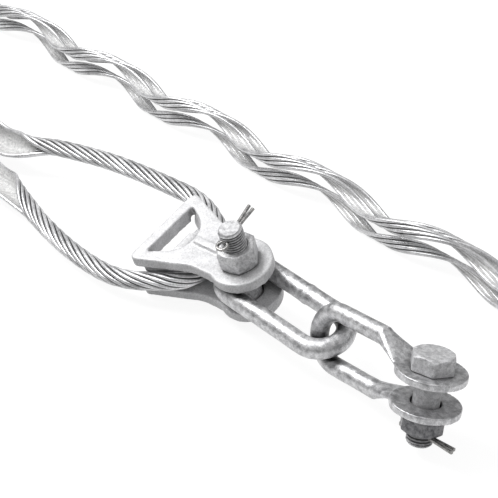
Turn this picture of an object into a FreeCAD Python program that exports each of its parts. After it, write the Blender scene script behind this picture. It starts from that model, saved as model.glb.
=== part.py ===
import FreeCAD, Part
import math
import os

# Ground wire strain clamp: a preformed wire grip looped round a clevis thimble, an oblong ring,
# a shackle, and the set of armour rods that goes under the grip. Millimetres, Z up.
# The origin is the middle of the shackle bolt, where the clamp is pinned to the tower.
# X runs from the wire towards the shackle, parallel to the legs of the grip and to the armour rods.

SIZES = [
    # bolts and nuts
    ("bolt_dia", 16, "both bolts"),
    ("hex_flats", 24, "width across flats of heads and nuts"),
    ("head_tall", 10, "height of a bolt head"),
    ("thimble_nut_tall", 15, "height of the thimble nut"),
    ("shackle_nut_tall", 13, "height of the shackle nut"),
    ("hex_cut", 1.6, "depth of the chamfer on the hexagon corners"),
    ("hex_inset", 0.4, "how far the chamfer circle is inside the flats"),
    ("bolt_tip", 1.5, "chamfer at the end of the thread"),
    ("fit_gap", 0.05, "running gap between a nut and its thread"),
    ("face_gap", 0.1, "gap between a face that sits on another and that face"),
    ("seat_gap", 0.2, "gap between the ring and the thimble bolt"),
    ("hole_dia", 18, "bolt holes of the thimble and the shackle"),
    # split pins
    ("pin_wire", 2, "thickness of the split pin wire"),
    ("pin_split", 0.1, "gap between the two halves of a split pin"),
    ("pin_hole", 4.4, "hole for the split pin"),
    ("pin_eye", 3.4, "mean half width of the split pin eye"),
    ("pin_near", 10.8, "bolt axis to the middle of the eye"),
    ("pin_far", 25.5, "bolt axis to the end of the legs"),
    ("pin_spread", 0.9, "how far each leg is bent outwards"),
    ("thimble_pin_edge", 5.5, "end of the thread to the split pin, thimble bolt"),
    ("shackle_pin_edge", 6.8, "the same for the shackle bolt, just past its nut"),
    ("pin_uneven", 0.94, "length of the shorter leg over the longer one"),
    # thimble
    ("clevis_gap", 20.5, "room between the two plates"),
    ("plate_thick", 8, "thickness of a plate"),
    ("end_half", 21.3, "round end of a plate about the bolt"),
    ("waist_half", 18.9, "half width at the waist"),
    ("waist_near", -9.8, "waist begins, from the bolt"),
    ("waist_far", -27, "waist ends, from the bolt"),
    ("wide_far", -71.5, "wide edge of the plates, from the bolt"),
    ("wide_half", 35, "half width at the wide edge"),
    ("corner_round", 4.5, "rounding of the wide corners"),
    ("waist_round", 30, "rounding of the hollow waist"),
    ("plate_edge", 1, "rounding of the outer plate edges"),
    ("rim_wide", 8, "strip of plate between the wide edge and the window"),
    ("rim_drop", 2.8, "how far that strip is thicker than the plate"),
    ("rib_wide", 5.6, "rib between window and bolt"),
    ("rib_tall", 1.8, "height of that rib over the plate"),
    ("rib_far", -39, "rib begins, from the bolt"),
    ("rib_near", -18.5, "rib ends, from the bolt"),
    ("thimble_end", 48.5, "end of the thread over the mid plane of the thimble"),
    # path of the rope round the thimble, seen in the plane of the loop
    ("bend_middle", -61.5, "centre of the bend, from the bolt"),
    ("bend_half", 30.5, "radius of the bend at the middle of the rope"),
    ("bend_turn", 62, "half angle of the bend"),
    ("flare_long", 14.5, "straight length after the bend"),
    ("hip_round", 75, "radius where the strands turn back to each other"),
    ("belly_round", 430, "radius of the long part of the loop"),
    ("belly_turn", 12.7, "angle of that part"),
    ("crotch_far", -300, "where the strands have become legs, from the bolt"),
    ("near_open", -172, "where the near rope begins to open into a leg, from the bolt"),
    ("far_open", -222, "where the far rope begins to open"),
    ("open_part", 0.5, "part of the way to the crotch in which the wires open to a strip"),
    ("axis_shift", 8.5, "sideways bend of the loop between thimble and legs"),
    ("shift_from", -90, "where that bend begins"),
    ("shift_long", 140, "its length"),
    ("groove_gap", 0.4, "gap between the rope and its groove"),
    ("window_off", 11, "middle of the rope to the window wall"),
    ("wall_bulge", 13, "middle of the rope to the bulge inside the wall"),
    ("lip_off", 5, "middle of the rope to the wall over and under the groove"),
    ("arm_lap", 1.5, "how far the straight walls run past the end of the flare"),
    # wires
    ("wire", 3, "wire of grip and armour rods"),
    ("rope_half", 6.2, "outside radius of the closed rope"),
    ("rope_valley", 5, "radius between two pairs of wires"),
    ("rope_lay", 105, "length of one turn of the rope, right hand"),
    ("leg_mean", 10.4, "mean radius of the legs"),
    ("leg_pitch", 165, "length of one turn of the legs, left hand"),
    ("leg_cover", 172, "angle covered by the ten wires of a leg"),
    ("leg_turns", 2.75, "turns of the legs"),
    ("leg_phase", 355, "angle of both legs at the crotch"),
    ("near_leg_side", -26, "axis of the near leg beside the shackle bolt"),
    ("far_leg_side", -4.5, "axis of the far leg beside the shackle bolt"),
    ("far_leg_high", 11.5, "far leg higher than the near one, which lies on the floor"),
    ("rod_mean", 6.6, "mean radius of the armour rods"),
    ("rod_pitch", 124.1, "length of one turn of the armour rods, left hand"),
    ("rod_cover", 107, "angle covered by the four wires of a set"),
    ("rod_turns", 6, "turns of the armour rods"),
    ("rod_far", -714, "far end of the armour rods"),
    ("rod_phase", 58, "angle of the first set at its far end"),
    ("rod_side", 146.3, "axis of the first set beside the shackle bolt"),
    ("second_near", 11, "second set: nearer to the viewer than the first"),
    ("second_low", 8.9, "second set: lower than the first"),
    ("second_turn", -6.4, "second set: turned against the first"),
    ("third_near", 13.6, "third set: nearer to the viewer than the first"),
    ("third_high", 6.8, "third set: higher than the first"),
    ("third_turn", -0.6, "third set: turned against the first"),
    # ring
    ("ring_bar", 13.2, "bar of the ring"),
    ("ring_room", 83, "inner length of the ring"),
    ("ring_inside", 19.4, "inner width of the ring"),
    # shackle
    ("shackle_bar", 12, "bar of the shackle"),
    ("shackle_reach", 84, "inside of the bow to the bolt"),
    ("leg_apart", 35, "middle of one shackle leg to the other"),
    ("eye_half", 21, "radius of an eye"),
    ("eye_thick", 4.5, "thickness of an eye"),
    ("eye_room", 16, "room between the eyes"),
    ("neck_long", 22, "length of the flattened neck"),
    ("neck_near", 16, "neck ends, from the bolt"),
    ("neck_half", 13.4, "half width of the neck at the eye"),
    ("neck_lap", 1.5, "how far the leg reaches into the neck"),
    ("neck_step", 0.06, "how much the ends of the neck stay inside leg and eye"),
    ("shackle_end", 34.5, "end of the thread from the middle of the shackle"),
    # construction
    ("lap", 1, "how far joined solids of one piece run into each other"),
    ("proud", 2, "how far a cutting solid stands out of what it cuts"),
    # how the pieces lie on the floor
    ("floor_drop", 39.9, "floor under the origin"),
    ("thimble_tall", 31.1, "middle of the thimble bolt over the floor"),
    ("link_play", 4.8, "room between the insides of the ring and the bow along the chain"),
    ("chain_yaw", 1.3, "line between the bolts turned to the viewer"),
    ("thimble_yaw", -5.1, "thimble turned in the plan"),
    ("thimble_pitch", 3.1, "thimble raised towards the shackle"),
    ("thimble_roll", 16.2, "thimble leaning to the viewer"),
    ("ring_yaw", -1.1, "ring turned in the plan"),
    ("ring_pitch", -2.4, "ring dipping towards the shackle"),
    ("ring_roll", 11.5, "ring leaning to the viewer"),
    ("shackle_yaw", 3.1, "shackle turned in the plan"),
    ("shackle_pitch", 8.1, "shackle raised towards its bolt"),
    ("shackle_roll", -15, "shackle leaning away"),
    ("thimble_bolt_turn", 189, "thimble bolt turned about its axis"),
    ("shackle_bolt_turn", 90, "shackle bolt turned about its axis"),
    ("thimble_hex_turn", 0, "hexagons of the thimble bolt turned against its split pin"),
    ("shackle_hex_turn", 16.8, "the same for the shackle bolt"),
]

doc = FreeCAD.newDocument("ground_wire_strain_clamp")
sheet = doc.addObject("Spreadsheet::Sheet", "sheet")
for row, (alias, value, note) in enumerate(SIZES, start=1):
    sheet.set("A%d" % row, str(value))
    sheet.set("B%d" % row, note)
    sheet.setAlias("A%d" % row, alias)
doc.recompute()


def size(alias):
    return float(getattr(sheet, alias))


def bind(obj, **links):
    for prop, words in links.items():
        obj.setExpression(prop, words.replace("$", "sheet."))
    return obj


def vec(x, y, z=0.0):
    return FreeCAD.Vector(x, y, z)


def make(kind, name, **links):
    return bind(doc.addObject(kind, name), **links)


def fuse(name, shapes):
    joined = doc.addObject("Part::MultiFuse", name)
    joined.Shapes = shapes
    return joined


def cut(name, base, tool):
    rest = doc.addObject("Part::Cut", name)
    rest.Base = base
    rest.Tool = tool
    return rest


def place(obj, x="0", y="0", z="0"):
    obj.setExpression("Placement.Base.x", x.replace("$", "sheet."))
    obj.setExpression("Placement.Base.y", y.replace("$", "sheet."))
    obj.setExpression("Placement.Base.z", z.replace("$", "sheet."))
    return obj


def turn(obj, axis, degrees):
    obj.Placement = FreeCAD.Placement(obj.Placement.Base, FreeCAD.Rotation(axis, degrees))
    return obj


X_AXIS = vec(1, 0, 0)
Y_AXIS = vec(0, 1, 0)
Z_AXIS = vec(0, 0, 1)


def lie(at, yaw, pitch, roll):
    """Placement of a piece that is turned to the viewer, raised to the right and leaning."""
    y, p, r = (math.radians(a) for a in (yaw, pitch, roll))
    ahead = vec(math.cos(y) * math.cos(p), -math.sin(y) * math.cos(p), math.sin(p))
    near = vec(-math.sin(y), -math.cos(y), 0)
    up = ahead.cross(near * -1)
    normal = up * math.cos(r) + near * math.sin(r)
    return FreeCAD.Placement(at, FreeCAD.Rotation(ahead, normal.cross(ahead), normal, "XZY"))


# Places that follow from the sizes above.
bolt_half = size("bolt_dia") / 2
rise = size("floor_drop") - size("thimble_tall")
ring_reach = size("ring_room") - bolt_half - size("seat_gap")
chain_long = ring_reach + size("shackle_reach") - size("link_play")
chain_pitch = math.degrees(math.asin(rise / chain_long))
chain_dir = lie(vec(0, 0, 0), size("chain_yaw"), chain_pitch, 0).Rotation.multVec(X_AXIS)
thimble_middle = chain_dir * -chain_long
at_thimble = lie(thimble_middle, size("thimble_yaw"), size("thimble_pitch"), size("thimble_roll"))
at_ring = lie(thimble_middle, size("ring_yaw"), size("ring_pitch"), size("ring_roll"))
at_shackle = lie(vec(0, 0, 0), size("shackle_yaw"), size("shackle_pitch"), size("shackle_roll"))

finished = []


def finish(node, obj, where):
    obj.Label = node
    obj.Placement = where
    finished.append(obj)


# Bolts, nuts and split pins.


def hex_block(name, tall, bottom, turned, top_cut):
    """Hexagon standing on the height given, its corners turned off below and, if asked, on top."""
    prism = make("Part::Prism", name + "_hex", Height=tall, Circumradius="$hex_flats / 2 / cos(30)")
    prism.Polygon = 6
    turn(prism, Z_AXIS, size(turned))
    place(prism, z=bottom)
    corner = "$hex_flats / 2 / cos(30) + $hex_inset / 4"
    narrow = "$hex_flats / 2 - $hex_inset"
    low = make("Part::Cone", name + "_low", Radius1=narrow, Radius2=corner, Height="$hex_cut")
    place(low, z=bottom)
    cuts = 2 if top_cut else 1
    middle = make("Part::Cylinder", name + "_middle", Radius=corner,
                  Height="%s - %d * $hex_cut" % (tall, cuts))
    place(middle, z=bottom + " + $hex_cut")
    parts = [low, middle]
    if top_cut:
        top = make("Part::Cone", name + "_top", Radius1=corner, Radius2=narrow, Height="$hex_cut")
        place(top, z=bottom + " + " + tall + " - $hex_cut")
        parts.append(top)
    block = doc.addObject("Part::MultiCommon", name + "_block")
    block.Shapes = [prism, fuse(name + "_turned", parts)]
    return block


def bolt(node, grip, end, pin_edge, turned, where):
    """Bolt with its head under the grip, its thread end at the height given and a hole for the split pin."""
    under = "-(" + grip + ") - $face_gap"
    head = hex_block(node, "$head_tall", under + " - $head_tall", turned, False)
    shank = make("Part::Cylinder", node + "_shank", Radius="$bolt_dia / 2",
                 Height=end + " - $bolt_tip + " + grip + " + $face_gap + $head_tall / 2")
    place(shank, z=under + " - $head_tall / 2")
    tip = make("Part::Cone", node + "_tip", Radius1="$bolt_dia / 2", Radius2="$bolt_dia / 2 - $bolt_tip",
               Height="$bolt_tip")
    place(tip, z=end + " - $bolt_tip")
    hole = make("Part::Cylinder", node + "_pin_hole", Radius="$pin_hole / 2", Height="$bolt_dia + 2 * $proud")
    turn(hole, X_AXIS, 90)
    place(hole, y="$bolt_dia / 2 + $proud", z=end + " - " + pin_edge)
    finish(node, cut(node + "_drilled", fuse(node + "_whole", [head, shank, tip]), hole), where)


def nut(node, grip, tall, turned, where):
    bottom = grip + " + $face_gap"
    bore = make("Part::Cylinder", node + "_bore", Radius="$bolt_dia / 2 + $fit_gap",
                Height=tall + " + 2 * $proud")
    place(bore, z=bottom + " - $proud")
    finish(node, cut(node + "_tapped", hex_block(node, tall, bottom, turned, True), bore), where)


def strip_solid(rows):
    """Solid through rows of points, each row one outline of a section, with flat ends."""
    count = len(rows[0])
    outlines = [rows[0], rows[-1]]
    for low, high in zip(rows, rows[1:]):
        for k in range(count):
            j = (k + 1) % count
            outlines += [[low[k], low[j], high[j]], [low[k], high[j], high[k]]]
    faces = [Part.Face(Part.makePolygon(points + [points[0]])) for points in outlines]
    shell = Part.makeShell(faces)
    shell.sewShape()
    solid = Part.makeSolid(Part.Shell(shell.Faces))
    if solid.Volume < 0:
        solid.reverse()
    return solid


def drawn(node, shape, where):
    piece = doc.addObject("Part::Feature", node)
    piece.Shape = shape
    finish(node, piece, where)


def split_pin(node, end, pin_edge, where):
    """One folded wire: an eye near the viewer, two legs side by side through the hole, tips bent apart."""
    half = size("pin_wire") / 2
    side = half + size("pin_split") / 2
    eye = size("pin_eye")
    near = size("pin_near")
    far = -size("pin_far")
    out = side + size("pin_spread")
    bend = -(bolt_half + size("pin_wire"))
    neck = near - math.sqrt(eye ** 2 - side ** 2)
    first = math.asin(side / eye)
    steps = 12
    high = size(end) - size(pin_edge)
    line = [vec(out, far, high), vec(side, bend, high), vec(side, neck, high)]
    for k in range(1, steps):
        a = first + (2 * math.pi - 2 * first) * k / steps
        line.append(vec(eye * math.sin(a), near - eye * math.cos(a), high))
    line += [vec(-side, neck, high), vec(-side, bend, high), vec(-out, far * size("pin_uneven"), high)]
    rows = []
    for k, point in enumerate(line):
        along = line[min(k + 1, len(line) - 1)] - line[max(k - 1, 0)]
        along.normalize()
        across = along.cross(Z_AXIS)
        angles = [math.pi / 3 * j for j in range(6)]
        rows.append([point + across * (half * math.cos(a)) + Z_AXIS * (half * math.sin(a)) for a in angles])
    drawn(node, strip_solid(rows), where)


def spun(degrees):
    return FreeCAD.Placement(vec(0, 0, 0), FreeCAD.Rotation(Z_AXIS, degrees))


thimble_grip = "$clevis_gap / 2 + $plate_thick"
shackle_grip = "$eye_room / 2 + $eye_thick"
over = FreeCAD.Placement(vec(0, 0, 0), FreeCAD.Rotation(X_AXIS, 180))
at_thimble_bolt = at_thimble.multiply(spun(size("thimble_bolt_turn")))
at_shackle_bolt = at_shackle.multiply(over).multiply(spun(size("shackle_bolt_turn")))

bolt("thimble_bolt", thimble_grip, "$thimble_end", "$thimble_pin_edge", "thimble_hex_turn", at_thimble_bolt)
nut("thimble_nut", thimble_grip, "$thimble_nut_tall", "thimble_hex_turn", at_thimble_bolt)
split_pin("thimble_split_pin", "thimble_end", "thimble_pin_edge", at_thimble_bolt)
bolt("shackle_bolt", shackle_grip, "$shackle_end", "$shackle_pin_edge", "shackle_hex_turn", at_shackle_bolt)
nut("shackle_nut", shackle_grip, "$shackle_nut_tall", "shackle_hex_turn", at_shackle_bolt)
split_pin("shackle_split_pin", "shackle_end", "shackle_pin_edge", at_shackle_bolt)


# The oblong ring: two straight bars and two half rounds.

ring_mean = "($ring_inside + $ring_bar) / 2"
ring_straight = "$ring_room - $ring_inside"
ring_start = "-($bolt_dia / 2 + $seat_gap) + $ring_inside / 2"
ring_parts = []
for name, turned, shift in (("ring_left", 90, ""), ("ring_right", -90, " + " + ring_straight)):
    end = make("Part::Torus", name, Radius1=ring_mean, Radius2="$ring_bar / 2")
    end.Angle3 = 180
    turn(end, Z_AXIS, turned)
    place(end, x=ring_start + shift)
    ring_parts.append(end)
for name, sign in (("ring_far_bar", "1"), ("ring_near_bar", "-1")):
    rod = make("Part::Cylinder", name, Radius="$ring_bar / 2", Height=ring_straight)
    turn(rod, Y_AXIS, 90)
    place(rod, x=ring_start, y=sign + " * " + ring_mean)
    ring_parts.append(rod)
finish("extension_ring", fuse("ring_whole", ring_parts), at_ring)


# The shackle: bow, two legs, flattened necks and drilled eyes.

FACING_X = FreeCAD.Rotation(Y_AXIS, Z_AXIS, X_AXIS, "XYZ")
bow_middle = "-$shackle_reach + ($leg_apart - $shackle_bar) / 2"
neck_start = "-($neck_near + $neck_long)"
bow = make("Part::Torus", "bow", Radius1="$leg_apart / 2", Radius2="$shackle_bar / 2")
bow.Angle3 = 180
upright = FreeCAD.Rotation(X_AXIS, 90).multiply(FreeCAD.Rotation(Z_AXIS, 90))
bow.Placement = FreeCAD.Placement(vec(0, 0, 0), upright)
place(bow, x=bow_middle)
shackle_parts = [bow]
for name, sign in (("upper", "1"), ("lower", "-1")):
    rod = make("Part::Cylinder", name + "_leg", Radius="$shackle_bar / 2",
               Height=neck_start + " + $neck_lap - (" + bow_middle + ")")
    turn(rod, Y_AXIS, 90)
    place(rod, x=bow_middle, z=sign + " * $leg_apart / 2")
    round_end = make("Part::Circle", name + "_neck_start", Radius="$shackle_bar / 2 - $neck_step")
    round_end.Placement = FreeCAD.Placement(vec(0, 0, 0), FACING_X)
    place(round_end, x=neck_start, z=sign + " * $leg_apart / 2")
    flat_end = make("Part::Ellipse", name + "_neck_end", MajorRadius="$neck_half",
                    MinorRadius="$eye_thick / 2 - $neck_step")
    flat_end.Placement = FreeCAD.Placement(vec(0, 0, 0), FACING_X)
    place(flat_end, x="-$neck_near", z=sign + " * ($eye_room + $eye_thick) / 2")
    neck = doc.addObject("Part::Loft", name + "_neck")
    neck.Sections = [round_end, flat_end]
    neck.Solid = True
    eye = make("Part::Cylinder", name + "_eye", Radius="$eye_half", Height="$eye_thick")
    place(eye, z="$eye_room / 2" if sign == "1" else "-$eye_room / 2 - $eye_thick")
    shackle_parts += [rod, neck, eye]
shackle_hole = make("Part::Cylinder", "shackle_hole", Radius="$hole_dia / 2",
                    Height="$eye_room + 2 * $eye_thick + 2 * $proud")
place(shackle_hole, z="-$eye_room / 2 - $eye_thick - $proud")
finish("shackle", cut("shackle_drilled", fuse("shackle_whole", shackle_parts), shackle_hole), at_shackle)


# The thimble casting: two plates with windows and, between them, the grooved wall for the rope.

inner_bend = "($bend_half - $window_off)"


def plate(name, bottom):
    """One fan-shaped plate: round end, waist and fan, with the wide corners and the waist rounded."""
    disc = make("Part::Cylinder", name + "_end", Radius="$end_half", Height="$plate_thick")
    place(disc, z=bottom)
    waist = make("Part::Box", name + "_waist", Length="$waist_near - $waist_far", Width="2 * $waist_half",
                 Height="$plate_thick")
    place(waist, x="$waist_far", y="-$waist_half", z=bottom)
    fan = make("Part::Wedge", name + "_fan", Xmin="-$waist_half", Xmax="$waist_half", X2min="-$wide_half",
               X2max="$wide_half", Ymin="0", Ymax="$waist_far - $wide_far", Zmin="0", Zmax="$plate_thick",
               Z2min="0", Z2max="$plate_thick")
    turn(fan, Z_AXIS, 90)
    place(fan, x="$waist_far", z=bottom)
    outline = fuse(name + "_outline", [disc, waist, fan])
    outline.Refine = True
    doc.recompute()
    rounds = []
    for index, edge in enumerate(outline.Shape.Edges, start=1):
        if len(edge.Vertexes) < 2:
            continue
        a, b = (v.Point for v in edge.Vertexes)
        if abs(a.x - b.x) + abs(a.y - b.y) > 0.01:
            continue
        if abs(a.x - size("wide_far")) < 0.01:
            rounds.append((index, size("corner_round"), size("corner_round")))
        elif abs(a.x - size("waist_far")) < 0.01:
            rounds.append((index, size("waist_round"), size("waist_round")))
    rounded = doc.addObject("Part::Fillet", name + "_rounded")
    rounded.Base = outline
    rounded.Edges = rounds
    return rounded


def window(name, bottom):
    """Window of a plate: round towards the bolt, widening to the strip at the wide edge."""
    touch_x = "($bend_middle + " + inner_bend + " * cos($bend_turn))"
    touch_y = "(" + inner_bend + " * sin($bend_turn))"
    edge_x = "($wide_far + $rim_wide)"
    edge_y = "(" + touch_y + " + (" + touch_x + " - " + edge_x + ") / tan($bend_turn))"
    deep = "($plate_thick + 2 * $proud)"
    wide = make("Part::Wedge", name + "_wide", Xmin="-" + touch_y, Xmax=touch_y, X2min="-" + edge_y,
                X2max=edge_y, Ymin="0", Ymax=touch_x + " - " + edge_x, Zmin="0", Zmax=deep, Z2min="0",
                Z2max=deep)
    turn(wide, Z_AXIS, 90)
    place(wide, x=touch_x, z=bottom + " - $proud")
    disc = make("Part::Cylinder", name + "_disc", Radius=inner_bend, Height=deep)
    disc.Angle = 180
    turn(disc, Z_AXIS, -90)
    place(disc, x="$bend_middle", z=bottom + " - $proud")
    return fuse(name, [wide, disc])


def at_bend(obj, degrees):
    """Turn a part of the wall about the centre of the bend."""
    middle = vec(size("bend_middle"), 0)
    about = FreeCAD.Placement(vec(0, 0, 0), FreeCAD.Rotation(Z_AXIS, degrees), middle)
    obj.Placement = about.multiply(obj.Placement)
    return obj


def wall():
    """Wall between the plates, round the bend and a little past it, with the groove for the rope."""
    turn_all = 2 * size("bend_turn")
    lip = make("Part::Cylinder", "lip", Radius="$bend_half - $lip_off", Height="$clevis_gap + 2 * $lap")
    lip.Angle = turn_all
    turn(lip, Z_AXIS, -turn_all / 2)
    place(lip, x="$bend_middle", z="-$clevis_gap / 2 - $lap")
    inside = make("Part::Cylinder", "wall_inside", Radius=inner_bend, Height="$clevis_gap + 2 * $proud")
    place(inside, x="$bend_middle", z="-$clevis_gap / 2 - $proud")
    bulge = make("Part::Torus", "bulge", Radius1="$bend_half", Radius2="$wall_bulge")
    bulge.Angle3 = turn_all
    turn(bulge, Z_AXIS, -turn_all / 2)
    place(bulge, x="$bend_middle")
    lip_keep = make("Part::Cylinder", "lip_keep", Radius="$bend_half - $lip_off", Height="$clevis_gap")
    place(lip_keep, x="$bend_middle", z="-$clevis_gap / 2")
    inner_bulge = doc.addObject("Part::MultiCommon", "inner_bulge")
    inner_bulge.Shapes = [bulge, lip_keep]
    rope_seat = make("Part::Torus", "rope_seat", Radius1="$bend_half", Radius2="$rope_half + $groove_gap")
    place(rope_seat, x="$bend_middle")
    walls = [cut("wall_bend", fuse("wall_bend_full", [cut("lip_ring", lip, inside), inner_bulge]), rope_seat)]
    arm_long = "($flare_long + $arm_lap)"
    for name, sign in (("far", 1), ("near", -1)):
        start_y = "0" if sign > 0 else "-" + arm_long
        box = make("Part::Box", name + "_arm", Length="$window_off - $lip_off", Width=arm_long,
                   Height="$clevis_gap + 2 * $lap")
        place(box, x="$bend_middle + $bend_half - $window_off", y=start_y, z="-$clevis_gap / 2 - $lap")
        rod = make("Part::Cylinder", name + "_arm_bulge", Radius="$wall_bulge", Height=arm_long)
        turn(rod, X_AXIS, -90)
        place(rod, x="$bend_middle + $bend_half", y=start_y)
        keep = make("Part::Box", name + "_arm_keep", Length="$wall_bulge - $lip_off", Width=arm_long,
                    Height="$clevis_gap")
        place(keep, x="$bend_middle + $bend_half - $wall_bulge", y=start_y, z="-$clevis_gap / 2")
        inner = doc.addObject("Part::MultiCommon", name + "_arm_inner")
        inner.Shapes = [rod, keep]
        seat = make("Part::Cylinder", name + "_arm_seat", Radius="$rope_half + $groove_gap",
                    Height=arm_long + " + 2 * $proud")
        turn(seat, X_AXIS, -90)
        place(seat, x="$bend_middle + $bend_half", y=start_y + " - $proud")
        arm = cut(name + "_arm_cut", fuse(name + "_arm_full", [box, inner]), seat)
        doc.recompute()
        walls.append(at_bend(arm, sign * size("bend_turn")))
    return walls


PLATES = [
    ("upper_plate", "$clevis_gap / 2", 1),
    ("lower_plate", "-$clevis_gap / 2 - $plate_thick", -1),
]
solids = []
for name, bottom, outward in PLATES:
    opened = cut(name + "_opened", plate(name, bottom), window(name + "_window", bottom))
    doc.recompute()
    face_z = outward * (size("clevis_gap") / 2 + size("plate_thick"))
    r = size("plate_edge")
    softened = doc.addObject("Part::Fillet", name + "_softened")
    softened.Base = opened
    softened.Edges = [(index, r, r) for index, edge in enumerate(opened.Shape.Edges, start=1)
                      if all(abs(v.Point.z - face_z) < 0.01 for v in edge.Vertexes)]
    rim = make("Part::Box", name + "_rim", Length="$rim_wide", Width="2 * $waist_half",
               Height="$rim_drop + $lap")
    place(rim, x="$wide_far", y="-$waist_half",
          z="$clevis_gap / 2 - $rim_drop" if outward > 0 else "-$clevis_gap / 2 - $lap")
    rib = make("Part::Box", name + "_rib", Length="$rib_near - $rib_far", Width="$rib_wide",
               Height="$rib_tall + $lap")
    place(rib, x="$rib_far", y="-$rib_wide / 2",
          z=bottom + (" + $plate_thick - $lap" if outward > 0 else " - $rib_tall"))
    solids += [softened, rim, rib]
solids += wall()
thimble_hole = make("Part::Cylinder", "thimble_hole", Radius="$hole_dia / 2",
                    Height="$clevis_gap + 2 * $plate_thick + 2 * $proud")
place(thimble_hole, z="-$clevis_gap / 2 - $plate_thick - $proud")
finish("clevis_thimble", cut("thimble_drilled", fuse("thimble_whole", solids), thimble_hole), at_thimble)


# The wires. A closed rope is drawn with five lobes, one for each pair of wires, and a leg as a strip of even
# thickness bent about the axis of its leg. Both outlines have ten corners, so one runs into the other.

STEP = 0.5
ROWS_PER_TURN = 24
RIBBON_STEPS = 4
ROD_ROWS = 18
ROD_STEPS = 3


def smooth(t):
    t = min(max(t, 0.0), 1.0)
    return t * t * (3 - 2 * t)


def loop_side():
    """Middle of one strand in the plane of the loop, from the bend to the crotch, with its heading."""
    stretches = [
        (math.radians(size("bend_turn")) * size("bend_half"), 1 / size("bend_half")),
        (size("flare_long"), 0.0),
        (math.radians(90 - size("bend_turn")) * size("hip_round"), 1 / size("hip_round")),
        (math.radians(size("belly_turn")) * size("belly_round"), 1 / size("belly_round")),
        (-size("crotch_far"), 0.0),
    ]
    at = vec(size("bend_middle") + size("bend_half"), 0)
    heading = math.pi / 2
    points = []
    for length, curve in stretches:
        count = round(length / STEP)
        pace = length / count
        for _ in range(count):
            points.append((at, heading))
            heading += curve * pace / 2
            at = at + vec(math.cos(heading), math.sin(heading)) * pace
            heading += curve * pace / 2
            if at.x < size("crotch_far"):
                return points
    return points


SIDE = loop_side()
LEG_RATE = 2 * math.pi / size("leg_pitch")
COVER = math.radians(size("leg_cover"))
FLOOR = -size("floor_drop")
crotch_x = at_thimble.multVec(vec(size("crotch_far"), size("axis_shift"))).x
leg_high = FLOOR + size("leg_mean") + size("wire") / 2
LEG_AXES = {
    -1: vec(crotch_x, size("near_leg_side"), leg_high),
    1: vec(crotch_x, size("far_leg_side"), leg_high + size("far_leg_high")),
}
strip_middle = size("leg_mean") * math.sin(COVER / 2) / (COVER / 2)

phase = math.radians(size("leg_phase"))
tenth = math.pi / 5


def opening(open_far):
    """First point of an opening, its length, the rope before its middle, and the tenths of a turn made."""
    start = len([1 for p, _ in SIDE if p.x >= open_far])
    length = (len(SIDE) - start) * STEP
    rope = start * STEP + length / 2
    made = phase + rope * 2 * math.pi / size("rope_lay") - LEG_RATE * length / 2
    return start, length, rope, made / tenth


def star(middle, across, upright, angle):
    row = []
    for k in range(10):
        reach = size("rope_half") if k % 2 == 0 else size("rope_valley")
        a = angle + tenth * (k - 2)
        row.append(middle + across * (reach * math.cos(a)) + upright * (reach * math.sin(a)))
    return row


def strip(middle, mean, across, upright, start, end, pieces):
    """Outline of a strip bent about the middle given, the outer corners first."""
    row = []
    for reach, first, last in ((1, start, end), (-1, end, start)):
        r = mean + reach * size("wire") / 2
        for k in range(pieces + 1):
            a = first + (last - first) * k / pieces
            row.append(middle + across * (r * math.cos(a)) + upright * (r * math.sin(a)))
    return row


def leg_strip(middle, across, upright, angle):
    return strip(middle, size("leg_mean"), across, upright, angle - COVER / 2,
                 angle + COVER / 2, RIBBON_STEPS)


def half_grip(side, opens, tenths):
    """Outlines of one half of the grip, from the middle of the bend to the free end of its leg."""
    start, length, rope, _ = opens
    rate = (tenths * tenth - phase + LEG_RATE * length / 2) / rope
    axis = LEG_AXES[side]
    angle = tenths * tenth
    rows = []
    next_row = 0.0
    for k, (p, heading) in enumerate(SIDE):
        opened = max(0.0, (k - start) / (len(SIDE) - start))
        share = smooth(opened)
        shape = smooth(opened / size("open_part"))
        if k * STEP >= next_row - STEP / 10:
            shift = size("axis_shift") * smooth((size("shift_from") - p.x) / size("shift_long"))
            here = at_thimble.multVec(vec(p.x, side * p.y + shift))
            ahead = at_thimble.Rotation.multVec(vec(math.cos(heading), side * math.sin(heading)))
            helix = phase - LEG_RATE * (here.x - axis.x)
            there = vec(here.x, axis.y + strip_middle * math.cos(helix),
                        axis.z + strip_middle * math.sin(helix))
            middle = here * (1 - share) + there * share
            along = ahead * (1 - share) - X_AXIS * share
            along.normalize()
            upright = Z_AXIS - along * along.z
            upright.normalize()
            across = along.cross(upright)
            closed = star(middle, across, upright, angle)
            out = across * math.cos(angle) + upright * math.sin(angle)
            centre = middle - out * strip_middle
            ribbon = leg_strip(centre, across, upright, angle)
            rows.append([a * (1 - shape) + b * shape for a, b in zip(closed, ribbon)])
            next_row = k * STEP + size("rope_lay") / ROWS_PER_TURN * (1 + opened)
        angle += (-rate * (1 - share) + LEG_RATE * share) * STEP
    for k in range(int(size("leg_turns") * ROWS_PER_TURN) + 1):
        x = axis.x - size("leg_pitch") / ROWS_PER_TURN * k
        helix = phase - LEG_RATE * (x - axis.x)
        spot = vec(x, axis.y, axis.z)
        rows.append(leg_strip(spot, Y_AXIS, Z_AXIS, helix))
    return rows


# The lay is trimmed a little so that the two halves of the loop meet in the middle of the bend.
near_opens = opening(size("near_open"))
far_opens = opening(size("far_open"))
near_tenths = round(near_opens[3])
far_tenths = near_tenths + 1 + 2 * round((far_opens[3] - near_tenths - 1) / 2)
near_rows = half_grip(-1, near_opens, near_tenths)
far_rows = half_grip(1, far_opens, far_tenths)
order = [(9 - k - near_tenths - far_tenths) % 10 for k in range(10)]
far_rows = [[row[j] for j in order] for row in far_rows]
drawn("preformed_grip", strip_solid(near_rows[::-1] + far_rows[1:]), FreeCAD.Placement())

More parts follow.
